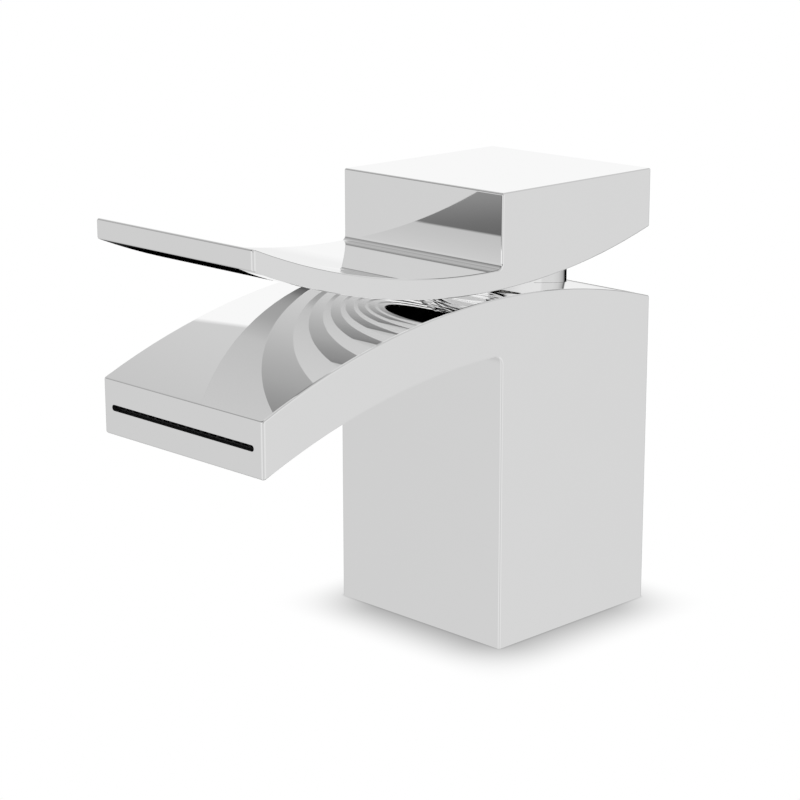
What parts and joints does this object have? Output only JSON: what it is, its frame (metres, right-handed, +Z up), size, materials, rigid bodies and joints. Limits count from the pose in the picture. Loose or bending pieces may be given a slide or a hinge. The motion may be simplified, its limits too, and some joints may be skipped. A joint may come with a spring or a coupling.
{
  "type": "basin faucet",
  "caption": "Single-lever basin mixer: square column with an arched flat spout and slot outlet, block handle with a curved lever on a round collar, ceramic disc cartridge inside.",
  "frame": {"origin": "middle of the column's foot, on the deck", "axes": "+Z up along the column, -Y along the spout, +X to the right as seen from the user's side of the basin"},
  "size_m": [0.0606, 0.1428, 0.1223],
  "materials": {
    "chrome": "bright chrome plate on cast brass",
    "brass": "turned brass",
    "steel": "ground stainless steel",
    "ceramic": "lapped alumina ceramic",
    "white_plastic": "moulded white plastic",
    "grey_plastic": "moulded grey plastic",
    "black_plastic": "moulded black plastic",
    "red_plastic": "moulded red plastic",
    "rubber": "black nitrile rubber"
  },
  "bodies": {
    "base": {"body": "chrome", "outlet_strip": "black_plastic", "base_seal": "rubber", "cartridge_base": "white_plastic", "port_seals": "rubber", "disc_seals": "rubber", "fixed_disc": "ceramic", "cartridge_housing": "grey_plastic", "hot_limit_ring": "red_plastic", "retaining_nut": "brass", "collar_seal": "rubber", "collar": "chrome"},
    "rotor": {"rotor": "white_plastic", "pivot_pin": "steel"},
    "lever": {"handle": "chrome", "stem": "brass", "set_screw": "steel", "screw_plug": "grey_plastic"},
    "slider": {"moving_disc": "ceramic", "disc_carrier": "white_plastic"}
  },
  "joints": [
    {"name": "turn", "type": "hinge", "parent": "base", "child": "rotor", "pos_m": [0, 0, 0.08605], "axis": [0, 0, 1], "range_deg": [-45, 45]},
    {"name": "lift", "type": "hinge", "parent": "rotor", "child": "lever", "pos_m": [0, 0, 0.08605], "axis": [-1, 0, 0], "range_deg": [0, 22]},
    {"name": "disc_slide", "type": "slide", "parent": "rotor", "child": "slider", "axis": [0, -1, 0], "range_m": [0, 0.0042]}
  ],
  "couplings": [
    {"joint": "disc_slide", "follows": "lift", "m_per_rad": 0.0108}
  ]
}
